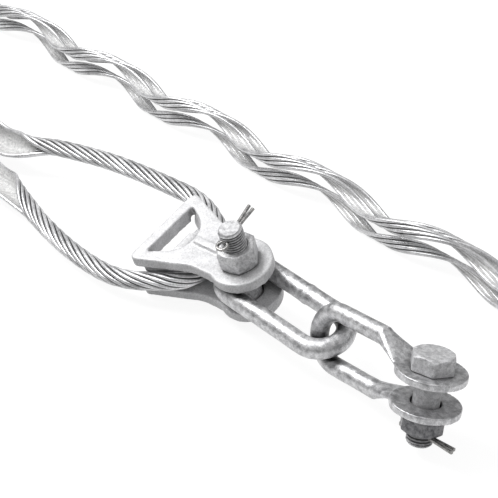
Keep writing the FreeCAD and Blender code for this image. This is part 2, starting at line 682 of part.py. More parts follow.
# The armour rods: three sets of four wires glued side by side, laid beside each other like nested springs.
SETS = [
    ("armour_rods_1", 0, 0, 0),
    ("armour_rods_2", -size("second_near"), -size("second_low"), size("second_turn")),
    ("armour_rods_3", -size("third_near"), size("third_high"), size("third_turn")),
]
half_cover = math.radians(size("rod_cover")) / 2
rod_high = FLOOR + size("rod_mean") + size("wire") / 2 + size("second_low")
row_turn = 2 * math.pi / ROD_ROWS
for node, aside, higher, turned in SETS:
    rows = []
    for k in range(int(size("rod_turns") * ROD_ROWS) + 1):
        x = size("rod_far") + size("rod_pitch") / ROD_ROWS * k
        helix = math.radians(size("rod_phase") + turned) - row_turn * k
        spot = vec(x, size("rod_side") + aside, rod_high + higher)
        rows.append(strip(spot, size("rod_mean"), Y_AXIS, Z_AXIS,
                          helix - half_cover, helix + half_cover, ROD_STEPS))
    drawn(node, strip_solid(rows), FreeCAD.Placement())


doc.recompute()
os.makedirs("parts", exist_ok=True)
for obj in doc.Objects:
    if "Invalid" in obj.State or "Error" in obj.State:
        raise RuntimeError("not built: " + obj.Name)
for obj in finished:
    if obj.Shape.isNull() or not obj.Shape.isValid() or obj.Shape.Volume <= 0:
        raise RuntimeError("bad shape: " + obj.Label)
for obj in finished:
    obj.Shape.exportStep("parts/%s.step" % obj.Label)
    box = obj.Shape.BoundBox
    print(obj.Label, len(obj.Shape.Solids), "solids", round(obj.Shape.Volume), "mm3",
          [round(v, 1) for v in (box.XMin, box.YMin, box.ZMin, box.XMax, box.YMax, box.ZMax)])
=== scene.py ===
import math

import bmesh
import bpy
import numpy as np
from mathutils import Matrix, Vector, noise
from mathutils.bvhtree import BVHTree


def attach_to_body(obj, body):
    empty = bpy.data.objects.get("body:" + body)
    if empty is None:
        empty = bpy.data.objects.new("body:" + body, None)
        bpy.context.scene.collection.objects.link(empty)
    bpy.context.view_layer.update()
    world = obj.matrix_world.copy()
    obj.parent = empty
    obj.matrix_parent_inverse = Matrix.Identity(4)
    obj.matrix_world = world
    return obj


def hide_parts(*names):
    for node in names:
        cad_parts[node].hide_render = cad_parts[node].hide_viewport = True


# Ground wire strain clamp. The casting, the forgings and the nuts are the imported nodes' own shapes with
# rounded edges and uneven skins. The single wires, the threads and the split pins are made here from the
# part's sizes. Then come the stage, the light and the camera.
# Lengths are in millimetres as in the part, and each mesh is scaled to metres when it is made.

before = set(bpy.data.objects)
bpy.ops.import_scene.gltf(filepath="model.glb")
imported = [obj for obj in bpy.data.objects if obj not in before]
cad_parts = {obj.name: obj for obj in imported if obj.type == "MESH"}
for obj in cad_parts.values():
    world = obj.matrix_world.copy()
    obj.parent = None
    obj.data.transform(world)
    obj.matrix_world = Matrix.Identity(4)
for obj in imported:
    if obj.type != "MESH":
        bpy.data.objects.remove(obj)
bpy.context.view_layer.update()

MM = 0.001

# The part's own sizes that the added pieces need. The length of the chain is worked out there.
BOLT_DIA = 16
HEX_FLATS = 24
HEX_CUT = 1.6
HEX_INSET = 0.4
HEAD_TALL = 10
BOLT_TIP = 1.5
FACE_GAP = 0.1
THIMBLE_GRIP = 20.5 / 2 + 8
SHACKLE_GRIP = 16 / 2 + 4.5
THIMBLE_END = 48.5
SHACKLE_END = 34.5
PIN_WIRE = 2
PIN_SPLIT = 0.1
PIN_EYE = 3.4
PIN_NEAR = 10.8
PIN_FAR = 25.5
PIN_SPREAD = 0.9
PIN_UNEVEN = 0.94
THIMBLE_PIN_EDGE = 5.5
SHACKLE_PIN_EDGE = 6.8
BEND_MIDDLE = -61.5
BEND_HALF = 30.5
BEND_TURN = 62
FLARE_LONG = 14.5
HIP_ROUND = 75
BELLY_ROUND = 430
BELLY_TURN = 12.7
CROTCH_FAR = -300
NEAR_OPEN = -172
FAR_OPEN = -222
OPEN_PART = 0.5
AXIS_SHIFT = 8.5
SHIFT_FROM = -90
SHIFT_LONG = 140
WIRE = 3
ROPE_LAY = 105
LEG_MEAN = 10.4
LEG_PITCH = 165
LEG_COVER = 172
LEG_TURNS = 2.75
LEG_PHASE = 355
NEAR_LEG_SIDE = -26
FAR_LEG_SIDE = -4.5
FAR_LEG_HIGH = 11.5
ROD_MEAN = 6.6
ROD_PITCH = 124.1
ROD_COVER = 107
ROD_TURNS = 6
ROD_FAR = -714
ROD_PHASE = 58
ROD_SIDE = 146.3
SECOND_NEAR = 11
SECOND_LOW = 8.9
SECOND_TURN = -6.4
THIRD_NEAR = 13.6
THIRD_HIGH = 6.8
THIRD_TURN = -0.6
CHAIN_LONG = 154
FLOOR_DROP = 39.9
THIMBLE_TALL = 31.1
CHAIN_YAW = 1.3
THIMBLE_YAW = -5.1
THIMBLE_PITCH = 3.1
THIMBLE_ROLL = 16.2
RING_YAW = -1.1
RING_PITCH = -2.4
RING_ROLL = 11.5
SHACKLE_YAW = 3.1
SHACKLE_PITCH = 8.1
SHACKLE_ROLL = -15
THIMBLE_BOLT_TURN = 189
SHACKLE_BOLT_TURN = 90
THIMBLE_HEX_TURN = 0
SHACKLE_HEX_TURN = 16.8

RING_INSIDE = 19.4
RING_BAR = 13.2

# Threads: pitch, depth, lengths, and how finely they are drawn.
THREAD_PITCH = 2
THREAD_DEEP = 1.1
THREAD_CREST = 0.1
THREAD_FLANKS = 0.7
THIMBLE_THREAD = 38
SHACKLE_THREAD = 20
ROWS_A_PITCH = 10
RUN_OUT_ROWS = 12
BOLT_COLUMNS = 72
CUT_ROWS = 8
HEAD_EASE = 0.3
CORNER_SPARE = 0.05
# The free room at the thread's crests, falling to none in its grooves, which sets the painted shade there.
THREAD_ROOM = 1.2

# Wires: in the loop they lie in five pairs round SHUT_MEAN, each PAIR_HALF degrees off the pair's middle.
WIRE_SIDES = 12
PAIR_FIRST = -144
PAIR_APART = 72
PAIR_HALF = 17.4
SHUT_MEAN = 5.0
WIRE_COUNT = 10
ROD_COUNT = 4

# Glue and grit on the inside of the strips: its depths under the wires' centres and its share of the width.
GRIT_INNER = 1.35
GRIT_OUTER = 0.3
GRIT_SHARE = 0.45
GRIT_FROM = 0.45
BAND_STEPS = 8

# Split pins.
PIN_SIDES = 16
PIN_EYE_STEPS = 24
PIN_BEND_LONG = 4
PIN_BEND_SHARE = 0.2
PIN_SQUARENESS = 0.5

# Up to which angle, in degrees, a mesh is shaded as one smooth surface.
BOLT_SMOOTH = 32
PIN_SMOOTH = 40
GRIT_SMOOTH = 60

# The ring's weld: its place along the far bar, its width and how much it is thicker than the bar.
WELD_AT = 40
WELD_WIDE = 2.4
WELD_PROUD = 0.07

# Dents: a finer noise over the coarse one, and how far the whole skin is set back.
FINE_SHARE = 0.4
FINE_SCALE = 3.1
SUNK = 0.3

# Painted shade: rays from each point, how far they look for a surface, and how far off the skin they start.
RAYS = 24
REACH = 7
RAY_START = 0.2
RAY_FLATTEST = 0.1

# A point with more free room than this gets no painted shade and is as bright as it gets.
WIDE_ROOM = 2.0


class Place:
    """A place and three directions, with x ahead, y away from the viewer and z up out of the piece."""

    def __init__(self, at, axes):
        self.at = np.array(at, float)
        self.axes = np.array(axes, float)

    def points(self, local):
        return self.at + np.asarray(local, float) @ self.axes

    def local(self, points):
        return (np.asarray(points, float) - self.at) @ self.axes.T

    def spun(self, degrees):
        c, s = math.cos(math.radians(degrees)), math.sin(math.radians(degrees))
        x, y, z = self.axes
        return Place(self.at, [c * x + s * y, c * y - s * x, z])

    def turned_over(self):
        x, y, z = self.axes
        return Place(self.at, [x, -y, -z])


def lie(at, yaw, pitch, roll):
    y, p, r = (math.radians(a) for a in (yaw, pitch, roll))
    ahead = np.array([math.cos(y) * math.cos(p), -math.sin(y) * math.cos(p), math.sin(p)])
    near = np.array([-math.sin(y), -math.cos(y), 0])
    up = np.cross(ahead, -near)
    normal = up * math.cos(r) + near * math.sin(r)
    return Place(at, [ahead, np.cross(normal, ahead), normal])


chain_pitch = math.degrees(math.asin((FLOOR_DROP - THIMBLE_TALL) / CHAIN_LONG))
thimble_middle = -CHAIN_LONG * lie((0, 0, 0), CHAIN_YAW, chain_pitch, 0).axes[0]
at_thimble = lie(thimble_middle, THIMBLE_YAW, THIMBLE_PITCH, THIMBLE_ROLL)
at_ring = lie(thimble_middle, RING_YAW, RING_PITCH, RING_ROLL)
at_shackle = lie((0, 0, 0), SHACKLE_YAW, SHACKLE_PITCH, SHACKLE_ROLL)
at_thimble_bolt = at_thimble.spun(THIMBLE_BOLT_TURN)
at_shackle_bolt = at_shackle.turned_over().spun(SHACKLE_BOLT_TURN)


# Meshes.


def skin(name, stacks, material, smooth_to=None, rooms=None):
    """One object from stacks of rings, (rows, corners, 3) in mm each: walls between rows and two end faces.

    With rooms, each corner also gets the free room in front of it, which the finish paints as shade in the
    clefts.
    """
    verts = []
    faces = []
    base = 0
    for rings in stacks:
        rows, corners, _ = rings.shape
        verts.append(rings.reshape(-1, 3) * MM)
        grid = base + np.arange(rows * corners).reshape(rows, corners)
        low, high = grid[:-1], grid[1:]
        quads = np.stack([low, np.roll(low, -1, 1), np.roll(high, -1, 1), high], -1).reshape(-1, 4)
        faces += quads.tolist() + [grid[0][::-1].tolist(), grid[-1].tolist()]
        base += rows * corners
    mesh = bpy.data.meshes.new(name)
    mesh.from_pydata(np.concatenate(verts).tolist(), [], faces)
    if rooms is not None:
        room = mesh.attributes.new("room", "FLOAT", "POINT")
        room.data.foreach_set("value", np.concatenate([r.ravel() for r in rooms]).astype(np.float32))
    work = bmesh.new()
    work.from_mesh(mesh)
    bmesh.ops.recalc_face_normals(work, faces=work.faces)
    work.to_mesh(mesh)
    work.free()
    mesh.shade_smooth()
    if smooth_to:
        mesh.set_sharp_from_angle(angle=math.radians(smooth_to))
    mesh.materials.append(material)
    obj = bpy.data.objects.new(name, mesh)
    bpy.context.scene.collection.objects.link(obj)
    return obj


def attach(obj, body, slot, *nodes):
    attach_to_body(obj, body)
    if nodes:
        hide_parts(*nodes)
    return obj


def unit(v):
    return v / np.linalg.norm(v, axis=-1, keepdims=True)


def tube(path, outward, radius, sides=WIRE_SIDES):
    """Rings round a path, kept from twisting by a direction that points out of the bundle at each point."""
    along = unit(np.gradient(path, axis=0))
    out = unit(outward - (outward * along).sum(1, keepdims=True) * along)
    side = np.cross(along, out)
    angle = np.linspace(0, 2 * math.pi, sides, endpoint=False)
    circle = np.cos(angle)[None, :, None] * out[:, None] + np.sin(angle)[None, :, None] * side[:, None]
    return path[:, None] + radius * circle


def tubes(paths, outs, radius):
    """Tubes along the paths of one bundle, and each corner's distance from the surface of its neighbours, for
    painted shade in the gaps.
    """
    rings = [tube(paths[:, i], outs[:, i], radius) for i in range(paths.shape[1])]
    along = unit(np.gradient(paths, axis=0))
    rooms = []
    for i, ring in enumerate(rings):
        room = np.full(ring.shape[:2], WIDE_ROOM)
        for j in range(len(rings)):
            if j != i:
                away = ring - paths[:, j][:, None]
                lane = along[:, j][:, None]
                away = away - (away * lane).sum(-1, keepdims=True) * lane
                room = np.minimum(room, np.linalg.norm(away, axis=-1) - radius)
        rooms.append(room)
    return rings, rooms


def band(centres, one, two, start, end, inner, outer):
    """Rings of a thin curved strip about each centre, between two angles and two radii."""
    share = np.linspace(0, 1, BAND_STEPS + 1)
    angle = start[:, None] + (end - start)[:, None] * share[None]
    rows = []
    for radius, turn in ((outer, angle), (inner, angle[:, ::-1])):
        c, s = np.cos(turn)[..., None], np.sin(turn)[..., None]
        rows.append(centres[:, None] + radius[:, None, None] * (c * one[:, None] + s * two[:, None]))
    return np.concatenate(rows, axis=1)


# The wires of the grip. STEP is the pace along the loop, with a row of corners every ROPE_ROWS paces, and
# each turn of a leg or rod has LEG_ROWS rows. SHUT are the wires' angles in the loop, OPEN in the legs.

STEP = 0.5
ROPE_ROWS = 3
LEG_ROWS = 48
LEG_RATE = 2 * math.pi / LEG_PITCH
COVER = math.radians(LEG_COVER)
TENTH = 2 * math.pi / WIRE_COUNT
PHASE = math.radians(LEG_PHASE)
WIRES = np.arange(WIRE_COUNT)
SHUT = np.radians(PAIR_FIRST + PAIR_APART * (WIRES // 2) + PAIR_HALF * (2 * (WIRES % 2) - 1))
OPEN = (WIRES - (WIRE_COUNT - 1) / 2) * COVER / WIRE_COUNT
X_AXIS, Y_AXIS, Z_AXIS = np.eye(3)


def smooth(t):
    t = np.clip(t, 0, 1)
    return t * t * (3 - 2 * t)


def loop_side():
    """Middle of one strand in the plane of the loop, from the bend to the crotch, with its heading."""
    stretches = [
        (math.radians(BEND_TURN) * BEND_HALF, 1 / BEND_HALF),
        (FLARE_LONG, 0),
        (math.radians(90 - BEND_TURN) * HIP_ROUND, 1 / HIP_ROUND),
        (math.radians(BELLY_TURN) * BELLY_ROUND, 1 / BELLY_ROUND),
        (-CROTCH_FAR, 0),
    ]
    x, y, heading = BEND_MIDDLE + BEND_HALF, 0.0, math.pi / 2
    points = []
    for length, curve in stretches:
        count = round(length / STEP)
        pace = length / count
        for _ in range(count):
            points.append((x, y, heading))
            heading += curve * pace / 2
            x += math.cos(heading) * pace
            y += math.sin(heading) * pace
            heading += curve * pace / 2
            if x < CROTCH_FAR:
                return np.array(points)
    return np.array(points)


side_path = loop_side()
crotch_x = at_thimble.points((CROTCH_FAR, AXIS_SHIFT, 0))[0]
leg_high = LEG_MEAN + WIRE / 2 - FLOOR_DROP
LEG_AXES = {
    -1: np.array([crotch_x, NEAR_LEG_SIDE, leg_high]),
    1: np.array([crotch_x, FAR_LEG_SIDE, leg_high + FAR_LEG_HIGH]),
}


def middle_of(mean, cover):
    """How far the middle of a strip's arc lies from its centre."""
    return mean * math.sin(cover / 2) / (cover / 2)


def opening(open_far):
    """Where a strand begins to open, over what length, its length as a rope, and its turn in tenths."""
    start = int((side_path[:, 0] >= open_far).sum())
    length = (len(side_path) - start) * STEP
    rope = start * STEP + length / 2
    made = PHASE + rope * 2 * math.pi / ROPE_LAY - LEG_RATE * length / 2
    return start, length, rope, made / TENTH


def half_grip(side, opens, tenths):
    """Centres of the ten wires along half of the grip, the outward directions, and the inner strip."""
    start, length, rope, _ = opens
    rate = (tenths * TENTH - PHASE + LEG_RATE * length / 2) / rope
    axis = LEG_AXES[side]
    angle = tenths * TENTH
    shut_cover = 2 * math.pi
    reach = middle_of(LEG_MEAN, COVER)
    paths, outs = [], []
    strip = []
    for k, (x, y, heading) in enumerate(side_path):
        opened = max(0.0, (k - start) / (len(side_path) - start))
        share = float(smooth(opened))
        shape = float(smooth(opened / OPEN_PART))
        if k % ROPE_ROWS == 0:
            shift = AXIS_SHIFT * smooth((SHIFT_FROM - x) / SHIFT_LONG)
            here = at_thimble.points((x, side * y + shift, 0))
            ahead = np.array((math.cos(heading), side * math.sin(heading), 0)) @ at_thimble.axes
            helix = PHASE - LEG_RATE * (here[0] - axis[0])
            there = np.array([here[0], *(axis[1:] + reach * np.array([math.cos(helix), math.sin(helix)]))])
            along = unit(ahead * (1 - share) - X_AXIS * share)
            upright = unit(Z_AXIS - along * along[2])
            across = np.cross(along, upright)
            cover = shut_cover + (COVER - shut_cover) * shape
            arc = SHUT_MEAN * shut_cover + (LEG_MEAN * COVER - SHUT_MEAN * shut_cover) * shape
            mean = arc / cover
            out = across * math.cos(angle) + upright * math.sin(angle)
            centre = here * (1 - share) + there * share - out * middle_of(mean, cover)
            turns = angle + SHUT + (OPEN - SHUT) * shape
            rays = np.cos(turns)[:, None] * across + np.sin(turns)[:, None] * upright
            paths.append(centre + mean * rays)
            outs.append(rays)
            if shape > GRIT_FROM:
                strip.append((centre, across, upright, angle, cover, mean))
        angle += (-rate * (1 - share) + LEG_RATE * share) * STEP
    for k in range(int(LEG_TURNS * LEG_ROWS) + 1):
        x = axis[0] - LEG_PITCH / LEG_ROWS * k
        helix = PHASE - LEG_RATE * (x - axis[0])
        turns = helix + OPEN
        rays = np.cos(turns)[:, None] * Y_AXIS + np.sin(turns)[:, None] * Z_AXIS
        centre = np.array([x, axis[1], axis[2]])
        paths.append(centre + LEG_MEAN * rays)
        outs.append(rays)
        strip.append((centre, Y_AXIS, Z_AXIS, helix, COVER, LEG_MEAN))
    return np.array(paths), np.array(outs), strip


def grit_strip(strip):
    """The thin layer of glue and grit on the inside of a leg."""
    centres, one, two = (np.array([row[i] for row in strip]) for i in range(3))
    middle, cover, mean = (np.array([row[i] for row in strip]) for i in range(3, 6))
    half = cover * GRIT_SHARE
    return band(centres, one, two, middle - half, middle + half, mean - GRIT_INNER, mean - GRIT_OUTER)


def build_grip(wire_look, grit_look):
    """Ten wires, each one running leg, loop and leg; each half turns a whole number of tenths."""
    near_opens, far_opens = opening(NEAR_OPEN), opening(FAR_OPEN)
    near_tenths = round(near_opens[3])
    far_tenths = near_tenths + 1 + 2 * round((far_opens[3] - near_tenths - 1) / 2)
    near, near_out, near_strip = half_grip(-1, near_opens, near_tenths)
    far, far_out, far_strip = half_grip(1, far_opens, far_tenths)
    meets = (4 - WIRES - near_tenths - far_tenths) % WIRE_COUNT
    paths = np.concatenate([near[::-1], far[1:, meets]])
    outs = np.concatenate([near_out[::-1], far_out[1:, meets]])
    rings, rooms = tubes(paths, outs, WIRE / 2)
    wires = skin("grip_wires", rings, wire_look, rooms=rooms)
    attach(wires, "grip_and_thimble", "grip_wire", "preformed_grip")
    grit = skin("grip_grit", [grit_strip(near_strip), grit_strip(far_strip)], grit_look, GRIT_SMOOTH)
    attach(grit, "grip_and_thimble", "grip_wire")


def build_armour(wire_look, grit_look):
    """Three sets of four wires, each set a left-hand helix laid beside the others."""
    rows = ROD_TURNS * LEG_ROWS
    x = ROD_FAR + ROD_PITCH / LEG_ROWS * np.arange(rows + 1)
    high = ROD_MEAN + WIRE / 2 + SECOND_LOW - FLOOR_DROP
    one = np.tile(Y_AXIS, (len(x), 1))
    two = np.tile(Z_AXIS, (len(x), 1))
    cover = math.radians(ROD_COVER)
    mean = np.full(len(x), float(ROD_MEAN))
    sets = [(0, 0, 0), (-SECOND_NEAR, -SECOND_LOW, SECOND_TURN), (-THIRD_NEAR, THIRD_HIGH, THIRD_TURN)]
    for number, (aside, higher, turned) in enumerate(sets, start=1):
        centres = np.stack([x, np.full(len(x), ROD_SIDE + aside), np.full(len(x), high + higher)], 1)
        helix = math.radians(ROD_PHASE + turned) - 2 * math.pi * np.arange(rows + 1) / LEG_ROWS
        turn = helix[:, None] + cover * (np.arange(ROD_COUNT) - (ROD_COUNT - 1) / 2) / ROD_COUNT
        rays = np.cos(turn)[..., None] * Y_AXIS + np.sin(turn)[..., None] * Z_AXIS
        rings, rooms = tubes(centres[:, None] + ROD_MEAN * rays, rays, WIRE / 2)
        wires = skin("armour_wires_%d" % number, rings, wire_look, rooms=rooms)
        attach(wires, "grip_and_thimble", "armour_wire", "armour_rods_%d" % number)
        edge = cover * (ROD_COUNT - 1) / ROD_COUNT / 2
        strip = band(centres, one, two, helix - edge, helix + edge, mean - GRIT_INNER, mean - GRIT_OUTER)
        grit = skin("armour_grit_%d" % number, [strip], grit_look, GRIT_SMOOTH)
        attach(grit, "grip_and_thimble", "armour_wire")


# Bolts with threads, and split pins.


def hexagon(angle):
    """Distance from the axis to the side of a hexagon that has a corner at angle 0."""
    sixth = math.pi / 3
    return HEX_FLATS / 2 / np.cos(np.mod(angle, sixth) - sixth / 2)


def bolt(name, grip, end, thread_long, hex_turn, place, material):
    """Bolt along z with its head below: grip is where the head bears, end is the tip of the thread."""
    angle = np.arange(BOLT_COLUMNS) * 2 * math.pi / BOLT_COLUMNS
    under = -grip - FACE_GAP
    low = under - HEAD_TALL
    narrow = HEX_FLATS / 2 - HEX_INSET
    corner = HEX_FLATS / 2 / math.cos(math.pi / 6)
    sides = hexagon(angle - math.radians(hex_turn))
    rows = []
    for k in range(CUT_ROWS + 1):
        limit = narrow + (corner + CORNER_SPARE - narrow) * k / CUT_ROWS
        rows.append((low + HEX_CUT * k / CUT_ROWS, np.minimum(sides, limit)))
    rows += [(under - HEAD_EASE, sides), (under, sides - HEAD_EASE)]
    shank = BOLT_DIA / 2
    plain = np.full(BOLT_COLUMNS, shank)
    rows += [(under, plain), (end - thread_long - 1, plain)]
    tip_from = end - BOLT_TIP
    for k in range(int(thread_long * ROWS_A_PITCH / THREAD_PITCH) + 1):
        z = end - thread_long + k * THREAD_PITCH / ROWS_A_PITCH
        wave = np.mod(z / THREAD_PITCH - angle / (2 * math.pi), 1)
        notch = np.clip((1 - np.abs(2 * wave - 1) - THREAD_CREST) / THREAD_FLANKS, 0, 1)
        run_out = min(1.0, k / RUN_OUT_ROWS)
        crest = min(shank, shank - (z - tip_from)) if z > tip_from else shank
        rows.append((z, np.minimum(shank - THREAD_DEEP * notch * run_out, crest)))
    rings = []
    rooms = []
    for z, radius in rows:
        level = np.full(BOLT_COLUMNS, z)
        rings.append(np.stack([radius * np.cos(angle), radius * np.sin(angle), level], 1))
        # Painted shade in the thread: the deeper a point lies in a groove, the less free room it is given.
        if end - thread_long < z < tip_from:
            rooms.append(THREAD_ROOM * (1 - (shank - radius) / THREAD_DEEP))
        else:
            rooms.append(np.full(BOLT_COLUMNS, WIDE_ROOM))
    return skin(name, [place.points(np.array(rings))], material, BOLT_SMOOTH, [np.array(rooms)])


def split_pin(name, high, place, material):
    """One folded wire: an eye near the viewer, two flat-sided legs through the hole."""
    half = PIN_WIRE / 2
    side = half + PIN_SPLIT / 2
    bend = -(BOLT_DIA / 2 + PIN_WIRE)
    neck = PIN_NEAR - math.sqrt(PIN_EYE ** 2 - side ** 2)
    first = math.asin(side / PIN_EYE)
    out = side + PIN_SPREAD
    eased = side + PIN_SPREAD * PIN_BEND_SHARE
    line = [(out, -PIN_FAR), (eased, bend - PIN_BEND_LONG), (side, bend), (side, neck)]
    for k in range(1, PIN_EYE_STEPS):
        a = first + (2 * math.pi - 2 * first) * k / PIN_EYE_STEPS
        line.append((PIN_EYE * math.sin(a), PIN_NEAR - PIN_EYE * math.cos(a)))
    line += [(-side, neck), (-side, bend), (-eased, bend - PIN_BEND_LONG), (-out, -PIN_FAR * PIN_UNEVEN)]
    path = np.array([(x, y, high) for x, y in line])
    along = unit(np.gradient(path, axis=0))
    across = np.cross(along, Z_AXIS)
    angle = np.linspace(0, 2 * math.pi, PIN_SIDES, endpoint=False)
    c, s = np.cos(angle), np.sin(angle)
    wide = half * np.sign(c) * np.abs(c) ** PIN_SQUARENESS
    tall = half * np.sign(s) * np.abs(s) ** PIN_SQUARENESS
    rings = path[:, None] + wide[None, :, None] * across[:, None] + tall[None, :, None] * Z_AXIS
    return skin(name, [place.points(rings)], material, PIN_SMOOTH)


# Materials.


def look(name, dark, light, metallic, rough, mottle, grain, bump, island=0.0, cleft_shade=0.0):
    """Zinc or steel: two greys mottled together, with a fine grain in colour, gloss and relief.

    mottle and grain are the scales of the blotches and the specks. island is how far the loose parts of a
    mesh differ in brightness. The last argument sets the painted shade: the brightness left where a point has
    no free room in front of it.
    """
    material = bpy.data.materials.new(name)
    material.use_nodes = True
    tree = material.node_tree
    shader = tree.nodes["Principled BSDF"]
    shader.inputs["Metallic"].default_value = metallic

    def node(kind, **values):
        made = tree.nodes.new(kind)
        for key, value in values.items():
            made.inputs[key].default_value = value
        return made

    def spread(source, low, high, bottom, top):
        """Map what lies between low and high onto bottom to top."""
        ends = {"From Min": low, "From Max": high, "To Min": bottom, "To Max": top}
        made = node("ShaderNodeMapRange", **ends)
        tree.links.new(source, made.inputs["Value"])
        return made

    def product(one, two):
        times = tree.nodes.new("ShaderNodeMath")
        times.operation = "MULTIPLY"
        tree.links.new(one, times.inputs[0])
        tree.links.new(two, times.inputs[1])
        return times.outputs["Value"]

    where = tree.nodes.new("ShaderNodeTexCoord").outputs["Object"]
    clouds = node("ShaderNodeTexNoise", Scale=mottle, Detail=6.0, Roughness=0.65)
    specks = node("ShaderNodeTexNoise", Scale=grain, Detail=3.0, Roughness=0.6)
    for texture in (clouds, specks):
        tree.links.new(where, texture.inputs["Vector"])
    ramp = tree.nodes.new("ShaderNodeValToRGB")
    for stop, place, colour in zip(ramp.color_ramp.elements, MOTTLE_ENDS, (dark, light)):
        stop.position = place
        stop.color = (*colour, 1)
    tree.links.new(clouds.outputs["Fac"], ramp.inputs["Fac"])
    total = spread(specks.outputs["Fac"], *NOISE_ENDS, *SPECK_SHADES).outputs["Result"]
    if island:
        loose = tree.nodes.new("ShaderNodeNewGeometry").outputs["Random Per Island"]
        total = product(total, spread(loose, 0, 1, 1 - island, 1 + island / 3).outputs["Result"])
    # Painted shade: the colour is darker where there is little free room in front of the point.
    if cleft_shade:
        room = tree.nodes.new("ShaderNodeAttribute")
        room.attribute_name = "room"
        lit = spread(room.outputs["Fac"], *ROOM_ENDS, cleft_shade, 1)
        lit.interpolation_type = "SMOOTHSTEP"
        total = product(total, lit.outputs["Result"])
    tint = tree.nodes.new("ShaderNodeVectorMath")
    tint.operation = "SCALE"
    tree.links.new(ramp.outputs["Color"], tint.inputs[0])
    tree.links.new(total, tint.inputs["Scale"])
    tree.links.new(tint.outputs["Vector"], shader.inputs["Base Color"])
    gloss = spread(clouds.outputs["Fac"], *NOISE_ENDS, rough - GLOSS_LESS, rough + GLOSS_MORE)
    tree.links.new(gloss.outputs["Result"], shader.inputs["Roughness"])
    relief = node("ShaderNodeBump", Strength=bump, Distance=RELIEF)
    tree.links.new(specks.outputs["Fac"], relief.inputs["Height"])
    tree.links.new(relief.outputs["Normal"], shader.inputs["Normal"])
    return material


# What all finishes share: where the blotches turn from dark to light, the middle stretch of the noise, the
# shades of the specks, the free room from darkest to brightest painted shade, the play of the gloss, and the
# relief in m.
MOTTLE_ENDS = (0.36, 0.62)
NOISE_ENDS = (0.3, 0.7)
SPECK_SHADES = (0.76, 1.12)
ROOM_ENDS = (0.15, 1.0)
GLOSS_LESS = 0.07
GLOSS_MORE = 0.1
RELIEF = 0.0004

LOOKS = {
    "thimble": look("thimble_zinc", (0.58, 0.58, 0.59), (0.76, 0.76, 0.77), metallic=0.15, rough=0.45,
                    mottle=90, grain=900, bump=0.3, cleft_shade=0.35),
    "forging": look("forging_zinc", (0.38, 0.38, 0.39), (0.76, 0.76, 0.77), metallic=0.85, rough=0.4,
                    mottle=260, grain=1500, bump=0.35, cleft_shade=0.12),
    "bolt": look("bolt_zinc", (0.36, 0.36, 0.37), (0.68, 0.68, 0.69), metallic=0.2, rough=0.4,
                 mottle=350, grain=1500, bump=0.35, cleft_shade=0.12),
    "nut": look("nut_zinc", (0.44, 0.44, 0.45), (0.80, 0.80, 0.81), metallic=0.35, rough=0.36,
                mottle=350, grain=1500, bump=0.35, cleft_shade=0.25),
    "dark_nut": look("dark_nut_zinc", (0.11, 0.11, 0.12), (0.36, 0.36, 0.37), metallic=0.3, rough=0.36,
                     mottle=350, grain=1500, bump=0.35, cleft_shade=0.25),
    "pin": look("pin_steel", (0.20, 0.20, 0.20), (0.42, 0.41, 0.40), metallic=0.9, rough=0.35,
                mottle=300, grain=1500, bump=0.2),
    "wire": look("wire_zinc", (0.54, 0.54, 0.55), (0.86, 0.86, 0.87), metallic=0.6, rough=0.31,
                 mottle=60, grain=800, bump=0.15, island=0.22, cleft_shade=0.03),
    "grit": look("grit", (0.46, 0.46, 0.46), (0.74, 0.74, 0.73), metallic=0.15, rough=0.6,
                 mottle=500, grain=2200, bump=0.5),
}

build_grip(LOOKS["wire"], LOOKS["grit"])
build_armour(LOOKS["wire"], LOOKS["grit"])
bolts = [
    bolt("thimble_bolt_threaded", THIMBLE_GRIP, THIMBLE_END, THIMBLE_THREAD, THIMBLE_HEX_TURN,
         at_thimble_bolt, LOOKS["bolt"]),
    bolt("shackle_bolt_threaded", SHACKLE_GRIP, SHACKLE_END, SHACKLE_THREAD, SHACKLE_HEX_TURN,
         at_shackle_bolt, LOOKS["bolt"]),
]
attach(bolts[0], "thimble_bolt_set", "bolts", "thimble_bolt")
attach(bolts[1], "shackle_bolt_set", "bolts", "shackle_bolt")
attach(split_pin("thimble_pin", THIMBLE_END - THIMBLE_PIN_EDGE, at_thimble_bolt, LOOKS["pin"]),
       "thimble_bolt_set", "split_pins", "thimble_split_pin")
attach(split_pin("shackle_pin", SHACKLE_END - SHACKLE_PIN_EDGE, at_shackle_bolt, LOOKS["pin"]),
       "shackle_bolt_set", "split_pins", "shackle_split_pin")


# The forgings, the casting and the nuts, with their edges rounded and their skins uneven.


def welded(mm):
    """The ring with the bulge of its weld on the far bar."""
    x, y, z = at_ring.local(mm).T
    swell = 1 + WELD_PROUD * np.exp(-((x - WELD_AT) / WELD_WIDE) ** 2) * (y > 0)
    middle = (RING_INSIDE + RING_BAR) / 2
    return at_ring.points(np.stack([x, middle + (y - middle) * swell, z * swell], 1))


